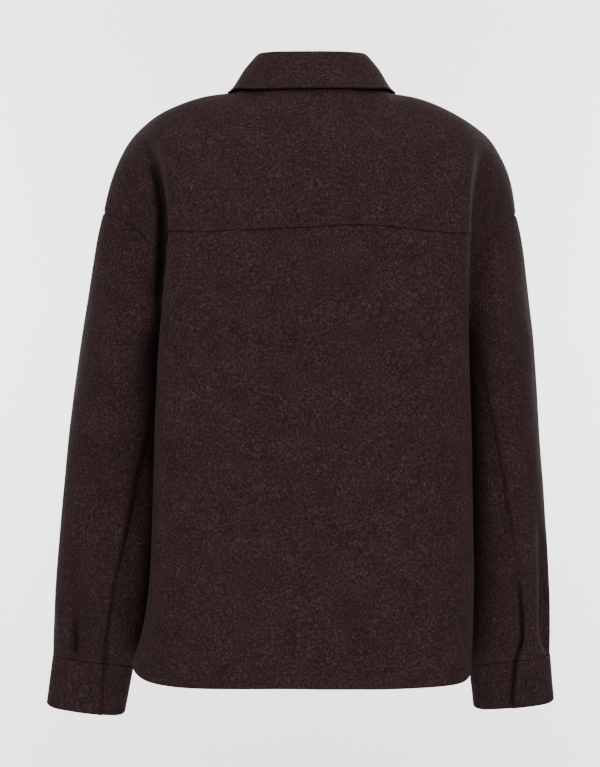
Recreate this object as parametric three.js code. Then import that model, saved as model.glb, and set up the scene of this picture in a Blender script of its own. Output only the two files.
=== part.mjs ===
// A wool shacket, buttoned up and hanging as it is worn, built from its cut pieces: back, yoke, two fronts,
// one-piece sleeves with a vent, cuffs, collar stand, collar leaf and press studs.
// Millimetres. +Z is up, +Y is the wearer's back, +X is the wearer's left.
// The origin is the middle of the neck, level with the shoulders' highest point.
import * as THREE from "three";

// Cloth and seams
const WALL = 2; // felted wool cloth
const FUSED_WALL = 2.6; // collar and cuffs, two layers fused together
const SEAM_GAP = 0.3; // between pieces that are sewn to each other
const EDGE_TURN = 0.7; // the inner side of every edge is drawn back by this much

// Widths below are distances from the middle, so each side has its sign
const SIDES = { left: 1, right: -1 };

// Neckline, where the collar stand is sewn on. The shoulder seams meet it at NECK_SEAM_TURN degrees round
// from the centre back.
const NECK = { halfWidth: 72, back: 58, front: -70, backHeight: 12, sideHeight: 7, frontHeight: -52 };
const NECK_SEAM_TURN = 110;
const NECK_FALL = 1.6; // exponent of the neckline's fall from its side to the centre front
// Degrees that the cloth rises at as it leaves the neckline, by the share of the way from the centre back or
// the centre front to the shoulder seam
const NECK_SLOPE = [
  { share: 0, back: -14, front: -55 },
  { share: 0.5, back: -19, front: -46 },
  { share: 0.75, back: -3, front: -30 },
  { share: 1, back: 14, front: -14 },
];

const NECK_STRAIGHT = 1.5; // how fast it then turns from outwards to straight back or straight forward
// Behind the neck end of the shoulder seam the cloth fans outwards again, between these columns
const NECK_FAN = { from: 0.19, most: 7 / 22, to: 0.55, out: 0.55 };

// Shoulder seam from the neck to the armhole. share is how far along it, x and z are the seam's place.
const SHOULDER_SEAM_Y = -25;
const SHOULDER_START = { height: 0.1, depth: 0.3 }; // shares over which the seam leaves the neckline's place
const SHOULDER = [
  { share: 0.0, leftX: 68, leftZ: 5, rightX: 68, rightZ: 5 },
  { share: 0.15, leftX: 108, leftZ: -6, rightX: 106, rightZ: -8 },
  { share: 0.3, leftX: 143.5, leftZ: -17, rightX: 140.5, rightZ: -21 },
  { share: 0.45, leftX: 177.5, leftZ: -31, rightX: 173.5, rightZ: -36 },
  { share: 0.57, leftX: 201.5, leftZ: -49, rightX: 198.5, rightZ: -51 },
  { share: 0.7, leftX: 218.5, leftZ: -72, rightX: 214.5, rightZ: -70 },
  { share: 0.85, leftX: 230.5, leftZ: -103, rightX: 226, rightZ: -99 },
  { share: 1.0, leftX: 237.1, leftZ: -138, rightX: 230.5, rightZ: -140 },
];

// Armhole seams of the dropped shoulders. outer is the top of the seam and inner its bottom at the underarm.
// bow is how far the drape pulls the seam up and inwards halfway down its back and its front.
const ARMHOLE = {
  left: { outerX: 240.5, outerZ: -137, innerX: 172, innerZ: -290, bowBack: 41, bowFront: 24 },
  right: { outerX: 234.5, outerZ: -140, innerX: 172.3, innerZ: -290, bowBack: 28, bowFront: 22 },
};
const BOW_CURVE = { upper: 2, lower: 4 }; // exponents of the bow in the upper and the lower half of the seam
const ARMHOLE_Y = -6; // the middle of the seam, front to back
const ARMHOLE_BACK = 58; // how far it reaches back from there
const ARMHOLE_FRONT = 62; // and forward
const YOKE_TURN = 78; // degrees round the armhole, from its top, to the end of the back yoke seam
const SHOULDER_TURN = -16; // and to the shoulder seam, forward of the top
const CHEST_TURN = -80; // and to where the front folds in towards the underarm

// Level sections of the trunk. z is the level at the centre, edge is the widest point of each side,
// centre is the depth at the middle, edgeDepth the depth of the widest point, and square is the exponent
// of the outline's corner.
const BACK = [
  { z: -158, leftEdge: 161.5, rightEdge: 177.5, centre: 127, edgeDepth: 80, square: 6.5 },
  { z: -215, leftEdge: 166, rightEdge: 176.5, centre: 128, edgeDepth: 74, square: 6 },
  { z: -290, leftEdge: 173, rightEdge: 176.5, centre: 126, edgeDepth: 62, square: 5 },
  { z: -380, leftEdge: 178, rightEdge: 181, centre: 122, edgeDepth: 50, square: 4.2 },
  { z: -470, leftEdge: 181, rightEdge: 182.5, centre: 119, edgeDepth: 42, square: 3.8 },
  { z: -580, leftEdge: 185.5, rightEdge: 184, centre: 117, edgeDepth: 36, square: 3.6 },
  { z: -635, leftEdge: 194, rightEdge: 183.5, centre: 117, edgeDepth: 32, square: 3.3 },
  { z: -675, leftEdge: 204, rightEdge: 181, centre: 118, edgeDepth: 30, square: 3 },
];
const FRONT = [
  { z: -172, leftEdge: 172, rightEdge: 172, centre: -124, edgeDepth: -88, square: 4.5 },
  { z: -230, leftEdge: 171, rightEdge: 172, centre: -131, edgeDepth: -82, square: 4.2 },
  { z: -290, leftEdge: 172.5, rightEdge: 174, centre: -131, edgeDepth: -72, square: 3.8 },
  { z: -380, leftEdge: 174.5, rightEdge: 176, centre: -127, edgeDepth: -60, square: 3.4 },
  { z: -470, leftEdge: 177, rightEdge: 177.5, centre: -124, edgeDepth: -52, square: 3.2 },
  { z: -580, leftEdge: 181, rightEdge: 177, centre: -122, edgeDepth: -46, square: 3 },
  { z: -635, leftEdge: 187, rightEdge: 176, centre: -122, edgeDepth: -42, square: 3 },
  { z: -675, leftEdge: 197, rightEdge: 176, centre: -123, edgeDepth: -40, square: 3 },
];
const YOKE_SEAM_Z = BACK[0].z;
// How far the yoke seam runs above its level at the centre, or below it, by the column
const YOKE_BOW = [
  { column: 0, left: 0, right: 0 },
  { column: 0.08, left: -0.8, right: 1.2 },
  { column: 0.21, left: -2.4, right: 3.1 },
  { column: 0.28, left: -3.3, right: 0.7 },
  { column: 0.34, left: -4, right: -2.2 },
  { column: 0.4, left: -4, right: -4.8 },
  { column: 0.72, left: 1.5, right: 0.9 },
  { column: 1, left: 0, right: 0 },
];
const YOKE_BOW_FADE = 0.25; // share of the back over which its rows lose that bow
const CHEST_Z = FRONT[0].z;
const HEM_Z = BACK.at(-1).z;
// How far the hem rises towards the side seams, by the column
const HEM_RISE = [
  { column: 0, left: 0, right: 0 },
  { column: 0.38, left: 0.4, right: 0.4 },
  { column: 0.485, left: 4.5, right: 2.2 },
  { column: 0.545, left: 9.5, right: 4.5 },
  { column: 0.645, left: 18, right: 11 },
  { column: 0.72, left: 22, right: 14 },
  { column: 1, left: 24, right: 15 },
];
const HEM_RISE_FROM = 0.6; // share of the side seam from which the rows rise with it
const ROW_RISE = 4; // exponent of a row's rise from its level at the centre to its end
const SIDE_SEAM_Y = -6;
const SIDE_SEAM = [
  { z: -290, left: 172, right: 172.3 },
  { z: -330, left: 166.5, right: 168 },
  { z: -380, left: 165, right: 167.5 },
  { z: -470, left: 167, right: 169 },
  { z: -580, left: 172, right: 170 },
  { z: -635, left: 184, right: 170 },
  { z: -675, left: 197, right: 171 },
];

// Lengths of the curves that carry the cloth over the shoulders, from each end of the curve
const BLADE_REACH = 90; // straight up from the yoke seam
const CAP_REACH = { neck: 42, side: 92, shoulder: 64 }; // back from the neckline and from the shoulder seam
const CHEST_REACH = 70; // straight up from the chest
const COLLARBONE_REACH = { neck: 30, shoulder: 58 }; // forward from the neckline and the shoulder seam
const ARMHOLE_REACH = 0.55; // share of the upright lengths that is left at the armhole

// Front edges: the wearer's right front lies over the left one
const FRONT_LAP = 17.5; // each front passes the centre line by this much
const LAP_STEP = 1.5; // the over front moves out by this much, and the under front in
const LAP_FADE = [0.12, 0.4]; // the columns between which the fronts come back level

const LAP_FINE = 0.0005; // how closely the lap's edge is placed

// How the columns of a trunk panel spread from the centre (0) to the armhole or side seam (1)
const EDGE_COLUMN = 0.72; // the column that runs down the widest point
const NECK_COLUMN = 7 / 22; // the column that meets the neck end of the shoulder seam
const CORNER_SPREAD = 1.3; // draws the columns towards the outline's corner
const SIDE_BEND = 0.55; // share of the depth from the widest point to the row's end where the row bends in
const SEAM_GAP_FADE = 0.05; // columns over which the gap of the shoulder seam closes at the neckline
const SHOULDER_SPREAD = [
  { column: NECK_COLUMN, share: 0 },
  { column: 0.48, share: 0.46 },
  { column: 0.72, share: 0.68 },
  { column: 0.86, share: 0.82 },
  { column: 1, share: 1 },
];

// Sleeves, armhole to cuff. outer and inner are the two ends of each slanting ring, y its middle and depth
// its half depth. seam is the sleeve seam's turn round the ring, from the outer end towards the back.
const LEFT_SLEEVE = [
  { down: 0, outerX: 240.5, outerZ: -137, innerX: 172, innerZ: -290, y: -6, depth: 60, seam: 180 },
  { down: 0.08, outerX: 249, outerZ: -172, innerX: 176, innerZ: -306, y: -6, depth: 63, seam: 178 },
  { down: 0.2, outerX: 259.5, outerZ: -238, innerX: 177.5, innerZ: -334, y: -8, depth: 66, seam: 172 },
  { down: 0.35, outerX: 271.5, outerZ: -320, innerX: 178.5, innerZ: -380, y: -11, depth: 63, seam: 160 },
  { down: 0.5, outerX: 282, outerZ: -405, innerX: 180.5, innerZ: -438, y: -15, depth: 57, seam: 138 },
  { down: 0.65, outerX: 291, outerZ: -490, innerX: 182.5, innerZ: -508, y: -20, depth: 50, seam: 120 },
  { down: 0.8, outerX: 297.5, outerZ: -565, innerX: 187, innerZ: -578, y: -26, depth: 44, seam: 107 },
  { down: 0.92, outerX: 301, outerZ: -622, innerX: 196.5, innerZ: -636, y: -31, depth: 38, seam: 101 },
  { down: 1, outerX: 302, outerZ: -650, innerX: 206, innerZ: -664, y: -34, depth: 33, seam: 105 },
];
const RIGHT_SLEEVE = [
  { down: 0, outerX: 234.5, outerZ: -140, innerX: 172.3, innerZ: -290, y: -6, depth: 60, seam: 180 },
  { down: 0.08, outerX: 243, outerZ: -172, innerX: 176.4, innerZ: -306, y: -6, depth: 63, seam: 164 },
  { down: 0.2, outerX: 251.5, outerZ: -238, innerX: 178.5, innerZ: -334, y: -8, depth: 66, seam: 146 },
  { down: 0.35, outerX: 258, outerZ: -320, innerX: 180.5, innerZ: -380, y: -11, depth: 64, seam: 122 },
  { down: 0.5, outerX: 264.5, outerZ: -405, innerX: 182, innerZ: -438, y: -15, depth: 58, seam: 101 },
  { down: 0.65, outerX: 270.5, outerZ: -490, innerX: 182.5, innerZ: -508, y: -20, depth: 52, seam: 88 },
  { down: 0.8, outerX: 275.5, outerZ: -565, innerX: 182.5, innerZ: -578, y: -26, depth: 46, seam: 79 },
  { down: 0.92, outerX: 278, outerZ: -622, innerX: 182, innerZ: -636, y: -31, depth: 40, seam: 73 },
  { down: 1, outerX: 277.5, outerZ: -650, innerX: 181.5, innerZ: -662, y: -34, depth: 34, seam: 81 },
];
const SLEEVE = { left: LEFT_SLEEVE, right: RIGHT_SLEEVE };
const ARMHOLE_FADE = 0.3; // share of the sleeve over which its rings lose the armhole's shape
const SEAM_TURN = 0.5; // degrees between the two edges of the sleeve's cloth at its seam
const VENT_OPENS = [0.8, 0.86]; // share of the sleeve where its seam opens into the vent
const VENT_LAP = 26; // degrees by which the vent's under edge lies beneath its over edge
const VENT_STEP = 2.4; // the over edge moves out by this much, and the under edge in
const VENT_BLEND = 0.16; // share of the girth over which the vent's edges move back to the ring

// Tucks that take the sleeve's fullness into the cuff: troughs, each with its turn round the ring at its top
// and at the cuff, the share of the sleeve where it starts, its depth and its half width in degrees
const TUCKS = [
  { side: "left", topTurn: 62, cuffTurn: 66, start: 0.7, depth: 8, halfWidth: 10 },
  { side: "left", topTurn: -70, cuffTurn: -62, start: 0.78, depth: 6, halfWidth: 12 },
  { side: "right", topTurn: 38, cuffTurn: 26, start: 0.52, depth: 8, halfWidth: 12 },
  { side: "right", topTurn: -75, cuffTurn: -66, start: 0.78, depth: 6, halfWidth: 12 },
];
const TUCK_GROWN = 0.5; // share of a tuck's length where it has its whole depth
const TUCK_PRESSED = 0.55; // share of a tuck's depth that the cuff seam presses flat
const TUCK_PRESSED_FROM = 0.93; // share of the sleeve where that starts

// Cuffs: the ring at the top and at the bottom, as in the sleeves
const CUFF = {
  left: [
    { down: 0, outerX: 302, outerZ: -650.6, innerX: 206.5, innerZ: -664.6, y: -34, depth: 33, seam: 105 },
    { down: 1, outerX: 309, outerZ: -710, innerX: 217, innerZ: -722, y: -36, depth: 31, seam: 112 },
  ],
  right: [
    { down: 0, outerX: 277.5, outerZ: -650.6, innerX: 182, innerZ: -662.6, y: -34, depth: 34, seam: 81 },
    { down: 1, outerX: 282, outerZ: -706, innerX: 187, innerZ: -714, y: -36, depth: 32, seam: 94 },
  ],
};
const CUFF_LAP = 40; // degrees by which the cuff's under end lies beneath its over end
const CUFF_STEP = 2.6; // the over end moves out by this much, and the under end in
const CUFF_CORNER = { rise: 4.5, sharpness: 16 }; // the lower edge rises at the cuff's outer and inner folds
const CUFF_STUD_TURN = 23; // degrees from the cuff's over end to its stud
const CUFF_STUD_DOWN = 0.55; // share of the cuff's depth

// Collar: the stand rises from the neckline, and the leaf folds over its top and falls outwards
const STAND_LIFT = 1.4; // the stand's lower edge above the neckline, level with the lapped fronts
const STAND_LAP_FROM = 0.8; // the place along the neckline from which its ends step over and under each other
const STAND_TOP = { halfWidth: 62, back: 54, front: -66, backHeight: 36, sideHeight: 36, frontHeight: -24 };
const FOLD = { halfWidth: 66.5, back: 60, front: -71, backHeight: 47, sideHeight: 48.5, frontHeight: -12 };
const LEAF_LIFT = 2.3; // the leaf's root above the top of the stand
const FOLD_RISE = 10; // how far the leaf runs straight up before it turns over
const LEAF_EDGE = { halfWidth: 96.5, back: 88, front: -106, backHeight: 0, sideHeight: 0, frontHeight: 0 };
const LEAF_END_TURN = 177; // degrees round to the leaf's front end on the fold
const LEAF_POINT_TURN = 148; // and on its outer edge, which makes the collar's point
// Height of the leaf's outer edge, which lies along the shoulders, by the place along the leaf
const LEAF_HANG = [
  { place: 0, z: -0.6 },
  { place: 0.3, z: 0 },
  { place: 0.43, z: 2.2 },
  { place: 0.57, z: 1.8 },
  { place: 0.64, z: 1 },
  { place: 0.71, z: -2.4 },
  { place: 0.79, z: -9.5 },
  { place: 0.86, z: -19.5 },
  { place: 0.93, z: -42.5 },
  { place: 1, z: -63 },
];

// Press studs: a low cap with a rolled rim
const STUD = { radius: 8, height: 2.6, rim: 1.2, dish: 0.6 };
const STUD_SIDES = 16;
const SLOPE_SPAN = 0.02; // the slope of the cloth is read over this much of a column or row
const STUD_SEAT = 0.5; // under a stud, whose back is flat while the cloth is not
const STUD_FINE = 0.0005; // how closely a stud's row is found
const FRONT_STUDS_Z = [-106, -206, -306, -406, -506, -606];

// Grid lines. Pieces that are sewn to each other have theirs at the same places along the seam.
const TRUNK_COLUMNS = 22; // from the centre to the side seam
const NECK_COLUMNS = 14; // from the centre back to the centre front
const YOKE_ROWS = 8; // from the back yoke seam to the shoulder seam
const COLLARBONE_ROWS = 5; // from the shoulder seam to the chest
const ARMPIT_ROWS = 6; // from the yoke seam or the chest to the underarm
const SIDE_ROWS = 11; // from the underarm to the hem
const SLEEVE_ROWS = 18;
const CUFF_COLUMNS = 26;
const BAND_ROWS = [0, 0.5, 1]; // of the cuffs and the collar stand
const LEAF_ROWS = [0, 0.1, 0.22, 0.36, 0.55, 0.78, 1];

const CLOTH = { color: 0x33231f, roughness: 0.95, metalness: 0 };
const STUD_METAL = { color: 0x2f261c, roughness: 0.45, metalness: 0.6 };

const radians = THREE.MathUtils.degToRad;
const lerp = THREE.MathUtils.lerp;
const smooth = (from, to, at) => THREE.MathUtils.smoothstep(at, from, to);
const point = (x, y, z) => new THREE.Vector3(x, y, z);
const spread = (from, to, steps) => Array.from({ length: steps }, (_, i) => lerp(from, to, i / steps));

// Reads one column of a table at a place between its rows, along a smooth curve through them
function read(table, key, at, column) {
  const last = table.length - 1;
  const rising = table[last][key] > table[0][key];
  const found = table.findIndex((row) => (rising ? row[key] >= at : row[key] <= at));
  const i = found < 0 ? last : Math.max(1, found);
  const [a, b] = [table[i - 1], table[i]];
  const [before, after] = [table[Math.max(0, i - 2)], table[Math.min(last, i + 1)]];
  const span = b[key] - a[key];
  const t = THREE.MathUtils.clamp((at - a[key]) / span, 0, 1);
  const slopeA = ((b[column] - before[column]) / (b[key] - before[key])) * span;
  const slopeB = ((after[column] - a[column]) / (after[key] - a[key])) * span;
  const [t2, t3] = [t * t, t * t * t];
  const ends = (2 * t3 - 3 * t2 + 1) * a[column] + (3 * t2 - 2 * t3) * b[column];
  return ends + (t3 - 2 * t2 + t) * slopeA + (t3 - t2) * slopeB;
}

// A cubic curve that leaves a along fromA and reaches b from b + fromB
function bezier(a, fromA, b, fromB, t) {
  const s = 1 - t;
  return a
    .clone()
    .multiplyScalar(s * s * s)
    .addScaledVector(a.clone().add(fromA), 3 * s * s * t)
    .addScaledVector(b.clone().add(fromB), 3 * s * t * t)
    .addScaledVector(b, t * t * t);
}

// A ring round the neck, by its turn from the centre back: 90 is the side and 180 the centre front
function neckRing(ring, turn) {
  const [sin, cos] = [Math.sin(radians(turn)), Math.cos(radians(turn))];
  const back = lerp(ring.sideHeight, ring.backHeight, cos * cos);
  const front = lerp(ring.sideHeight, ring.frontHeight, Math.pow(Math.max(0, -cos), NECK_FALL));
  return point(ring.halfWidth * sin, (cos > 0 ? ring.back : -ring.front) * cos, cos > 0 ? back : front);
}

// A place along the neckline, from the centre back (0) past the shoulder seam (0.5) to the centre front (1)
const neckTurn = (place) =>
  place < 0.5 ? NECK_SEAM_TURN * place * 2 : lerp(NECK_SEAM_TURN, 180, place * 2 - 1);

// The armhole seam, by its turn from the top: 90 is the back, 180 the underarm and -90 the front
function armhole(side, turn) {
  const a = ARMHOLE[side];
  const outer = point(a.outerX, ARMHOLE_Y, a.outerZ);
  const inner = point(a.innerX, ARMHOLE_Y, a.innerZ);
  const [sin, cos] = [Math.sin(radians(turn)), Math.cos(radians(turn))];
  const alongSeam = outer.clone().sub(inner).multiplyScalar(0.5);
  const inwards = point(-alongSeam.z, 0, alongSeam.x).normalize();
  const bow = (sin > 0 ? a.bowBack : a.bowFront) * Math.pow(sin, cos > 0 ? BOW_CURVE.upper : BOW_CURVE.lower);
  const depth = (sin > 0 ? ARMHOLE_BACK : ARMHOLE_FRONT) * sin;
  return outer
    .add(inner)
    .multiplyScalar(0.5)
    .addScaledVector(alongSeam, cos)
    .addScaledVector(inwards, bow)
    .add(point(0, depth, 0));
}

// A level row of the trunk, from the centre (0) round its widest point to its end on the armhole or side seam
// (1)
function trunkRow(table, side, column, z, end) {
  const edgeX = read(table, "z", z, side + "Edge");
  const edgeDepth = read(table, "z", z, "edgeDepth");
  const height = z + (end.z - z) * Math.pow(column, ROW_RISE);
  if (column < EDGE_COLUMN) {
    const square = read(table, "z", z, "square");
    const centre = read(table, "z", z, "centre");
    const turn = (Math.PI / 2) * Math.pow(column / EDGE_COLUMN, CORNER_SPREAD);
    const [sin, cos] = [Math.sin(turn), Math.cos(turn)];
    const reach = Math.pow(Math.pow(sin, square) + Math.pow(cos, square), -1 / square);
    return point(edgeX * reach * sin, edgeDepth + (centre - edgeDepth) * reach * cos, height);
  }
  const t = (column - EDGE_COLUMN) / (1 - EDGE_COLUMN);
  const edge = point(edgeX, edgeDepth, 0);
  const bend = point(edgeX, lerp(edgeDepth, end.y, SIDE_BEND), 0);
  const straight = edge.clone().lerp(bend, t);
  const made = straight.lerp(bend.lerp(end, t), t);
  return point(made.x, made.y, height);
}

// Where a trunk row ends: on the armhole down to the underarm, then on the side seam. facing is 1 on the back
// and -1 on the front.
function trunkEnd(side, z, startZ, facing) {
  const underarm = ARMHOLE[side].innerZ;
  if (z > underarm) {
    const startTurn = facing > 0 ? YOKE_TURN : CHEST_TURN;
    return armhole(side, lerp(startTurn, facing * 180, (startZ - z) / (startZ - underarm)));
  }
  return point(read(SIDE_SEAM, "z", z, side), SIDE_SEAM_Y, z);
}

// How far a place near the hem is raised with it
function hemRise(side, column, z) {
  const underarm = ARMHOLE[side].innerZ;
  const near = smooth(HEM_RISE_FROM, 1, (underarm - z) / (underarm - HEM_Z));
  return read(HEM_RISE, "column", column, side) * near;
}

// The upper edges of the yoke and the fronts: the neckline, then the shoulder seam
function upperEdge(side, column, facing) {
  if (column < NECK_COLUMN) {
    const place = column / NECK_COLUMN / 2;
    return neckRing(NECK, neckTurn(facing > 0 ? place : 1 - place));
  }
  const share = read(SHOULDER_SPREAD, "column", column, "share");
  const neckEnd = neckRing(NECK, NECK_SEAM_TURN);
  const y = lerp(neckEnd.y, SHOULDER_SEAM_Y, smooth(0, SHOULDER_START.depth, share));
  const [x, z] = ["X", "Z"].map((axis) => read(SHOULDER, "share", share, side + axis));
  const seam = point(x, y, z);
  return seam.lerp(neckEnd, 1 - smooth(0, SHOULDER_START.height, share));
}

// Bends a surface near the armhole so that its last column lies on the seam
function ontoArmhole(side, column, turn, curve) {
  const pull = armhole(side, turn).sub(curve(1)).multiplyScalar(smooth(EDGE_COLUMN, 1, column));
  return curve(column).add(pull);
}

// The direction in which the cloth leaves the upper edge: outwards from the neckline, turning to straight
// back or straight forward before the shoulder seam
function awayFromEdge(column, facing) {
  const share = Math.min(1, column / NECK_COLUMN);
  const turn = radians(neckTurn(facing > 0 ? share / 2 : 1 - share / 2));
  const slope = radians(read(NECK_SLOPE, "share", share, facing > 0 ? "back" : "front"));
  const straight = Math.min(1, share * NECK_STRAIGHT);
  const level = point(Math.sin(turn), Math.cos(turn), 0).lerp(point(0, facing, 0), straight);
  const { from, most, to, out } = NECK_FAN;
  if (facing > 0) level.x += out * smooth(from, most, column) * (1 - smooth(most, to, column));
  return level.normalize().multiplyScalar(Math.cos(slope)).setZ(Math.sin(slope));
}

// The yoke, from its seam on the back (row 0) over the shoulders to the neckline and shoulder seams (row 1)
function yokePoint(side, column, row) {
  const curve = (at) => {
    const low = trunkRow(BACK, side, at, YOKE_SEAM_Z, armhole(side, YOKE_TURN));
    low.z += read(YOKE_BOW, "column", at, side);
    const share = Math.min(1, at / NECK_COLUMN);
    const reachAtSeam = lerp(CAP_REACH.side, CAP_REACH.shoulder, smooth(NECK_COLUMN, EDGE_COLUMN, at));
    const cap = awayFromEdge(at, 1).multiplyScalar(lerp(CAP_REACH.neck, reachAtSeam, share));
    const up = point(0, 0, BLADE_REACH * lerp(1, ARMHOLE_REACH, smooth(EDGE_COLUMN, 1, at)));
    return bezier(low, up, upperEdge(side, at, 1), cap, row);
  };
  return ontoArmhole(side, column, lerp(YOKE_TURN, SHOULDER_TURN, row), curve);
}

// The upper front, from the neckline and shoulder seam (row 0) to the chest (row 1)
function collarbonePoint(side, column, row) {
  const curve = (at) => {
    const low = trunkRow(FRONT, side, at, CHEST_Z, armhole(side, CHEST_TURN));
    const share = Math.min(1, at / NECK_COLUMN);
    const reach = lerp(COLLARBONE_REACH.neck, COLLARBONE_REACH.shoulder, share);
    const forward = awayFromEdge(at, -1).multiplyScalar(reach);
    const up = point(0, 0, CHEST_REACH * lerp(1, ARMHOLE_REACH, smooth(EDGE_COLUMN, 1, at)));
    return bezier(upperEdge(side, at, -1), forward, low, up, row);
  };
  const gap = -SEAM_GAP * smooth(NECK_COLUMN - SEAM_GAP_FADE, NECK_COLUMN, column) * (1 - row);
  return ontoArmhole(side, column, lerp(SHOULDER_TURN, CHEST_TURN, row), curve).add(point(0, gap, 0));
}

// The column of the upper or lower front that runs along the edge of the lap, found by halving
function lapColumn(row, low = 0, high = NECK_COLUMN) {
  const middle = (low + high) / 2;
  if (high - low < LAP_FINE) return middle;
  const within = flushFront("left", middle, row).x < FRONT_LAP;
  return within ? lapColumn(row, middle, high) : lapColumn(row, low, middle);
}

// The way out from the cloth at the centre front
function centreOutwards(row) {
  if (row >= 1) return point(0, -1, 0);
  const down = collarbonePoint("left", 0, row + SLOPE_SPAN).sub(collarbonePoint("left", 0, row));
  return point(0, down.z, -down.y).normalize();
}

// A front without its lap. Row 0 to 1 is the upper front, and 1 to 2 runs from the chest to the hem.
function flushFront(side, column, row) {
  if (row < 1) return collarbonePoint(side, column, row);
  const z = lerp(CHEST_Z, HEM_Z, row - 1);
  const end = trunkEnd(side, z, CHEST_Z, -1).add(point(0, -SEAM_GAP / 2, 0));
  return trunkRow(FRONT, side, column, z, end).add(point(0, 0, hemRise(side, column, z)));
}

// A front. Column -1 to 0 is the lap past the centre front, which has the form of the other front.
function frontPoint(side, column, row) {
  const step = LAP_STEP * (1 - smooth(...LAP_FADE, column)) * (side === "right" ? 1 : -1);
  const across = column < 0 ? -column * lapColumn(row) : column;
  const made = flushFront(side, across, row);
  made.x *= Math.sign(column) || 1;
  return made.addScaledVector(centreOutwards(row), step);
}

// The back, from the yoke seam (row 0) to the hem (row 1)
function backPoint(side, column, row) {
  const z = lerp(YOKE_SEAM_Z, HEM_Z, row);
  const end = trunkEnd(side, z, YOKE_SEAM_Z, 1).add(point(0, SEAM_GAP / 2, 0));
  const bow = read(YOKE_BOW, "column", column, side) * (1 - smooth(0, YOKE_BOW_FADE, row));
  const raised = bow + hemRise(side, column, z) - SEAM_GAP * (1 - row);
  return trunkRow(BACK, side, column, z, end).add(point(0, 0, raised));
}

// A slanting ring of a sleeve or cuff, by its turn from the outer end towards the back
function armRing(table, down, turn) {
  const value = (name) => read(table, "down", down, name);
  const outer = point(value("outerX"), 0, value("outerZ"));
  const inner = point(value("innerX"), 0, value("innerZ"));
  const middle = outer.clone().add(inner).multiplyScalar(0.5);
  const [sin, cos] = [Math.sin(radians(turn)), Math.cos(radians(turn))];
  return middle
    .addScaledVector(outer.sub(inner).multiplyScalar(0.5), cos)
    .add(point(0, value("y") + value("depth") * sin, 0));
}

// A point of a ring moved away from the ring's middle, or towards it where by is negative
function movedOut(table, down, turn, by) {
  const here = armRing(table, down, turn);
  const outwards = here.clone().sub(armRing(table, down, turn + 180)).normalize();
  return here.addScaledVector(outwards, by);
}

// How far the over edge of a lap stands out, and its under edge lies in, at a column of the girth
const lapShift = (column) => 1 - smooth(0, VENT_BLEND, column) - smooth(1 - VENT_BLEND, 1, column);

// How far the tucks push a point of the sleeve in
function tuckDepth(side, down, turn) {
  return TUCKS.filter((tuck) => tuck.side === side).reduce((sum, tuck) => {
    const grown = smooth(tuck.start, 1, down);
    const pressed = 1 - TUCK_PRESSED * smooth(TUCK_PRESSED_FROM, 1, down);
    const centre = lerp(tuck.topTurn, tuck.cuffTurn, grown);
    const away = THREE.MathUtils.euclideanModulo(turn - centre + 180, 360) - 180;
    const depth = tuck.depth * smooth(0, TUCK_GROWN, grown) * pressed;
    return sum + depth * Math.exp(-Math.pow(away / tuck.halfWidth, 2));
  }, 0);
}

// A sleeve, from the armhole (row 0) to the cuff (row 1). Column 0 is its seam's over edge, and the columns
// run over the outside of the arm and round to the seam's under edge.
function sleevePoint(side, column, row) {
  const table = SLEEVE[side];
  const opened = smooth(...VENT_OPENS, row);
  const turned = lerp(SEAM_TURN / 2, 360 - SEAM_TURN / 2, column);
  const turn = read(table, "down", row, "seam") - turned - column * VENT_LAP * opened;
  const shift = opened * VENT_STEP * lapShift(column) - tuckDepth(side, row, turn);
  const made = movedOut(table, row, turn, shift);
  const fade = 1 - smooth(0, ARMHOLE_FADE, row);
  const seamTurn = 180 - turned;
  const bent = armhole(side, seamTurn).sub(armRing(table, 0, seamTurn));
  return made.addScaledVector(bent, fade).add(point(SEAM_GAP * fade, 0, -SEAM_GAP * fade));
}

// A cuff, from the sleeve (row 0) to its edge (row 1). Column 0 is its over end.
function cuffPoint(side, column, row) {
  const turn = read(CUFF[side], "down", row, "seam") - column * (360 + CUFF_LAP);
  const made = movedOut(CUFF[side], row, turn, CUFF_STEP * lapShift(column));
  const atFold = Math.pow(Math.cos(radians(turn)), CUFF_CORNER.sharpness);
  return made.add(point(0, 0, CUFF_CORNER.rise * row * atFold));
}

// The collar stand, from the neckline (row 0) to its top (row 1), by the place along the neckline, negative
// on the right and positive on the left. Past places -1 and 1 its ends lap like the fronts.
function standPoint(place, row) {
  const turn = neckTurn(Math.abs(place));
  const made = neckRing(NECK, turn).lerp(neckRing(STAND_TOP, turn), row);
  made.x *= Math.sign(place);
  made.y += Math.sign(place) * LAP_STEP * smooth(STAND_LAP_FROM, 1, Math.abs(place));
  made.z += STAND_LIFT * (1 - row);
  return made;
}

// The collar leaf, from the top of the stand (row 0) over the fold to its outer edge (row 1)
function leafPoint(place, row) {
  const along = Math.abs(place);
  const foldTurn = Math.min(neckTurn(along), LEAF_END_TURN);
  const stand = neckRing(STAND_TOP, foldTurn);
  const inside = point(stand.x, stand.y, 0).normalize().multiplyScalar(-FUSED_WALL);
  const start = stand.add(inside).add(point(0, 0, LEAF_LIFT));
  const edge = neckRing(LEAF_EDGE, along * LEAF_POINT_TURN).setZ(read(LEAF_HANG, "place", along, "z"));
  const made = bezier(start, point(0, 0, FOLD_RISE), edge, neckRing(FOLD, foldTurn).sub(edge), row);
  made.x *= Math.sign(place);
  return made;
}

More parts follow.
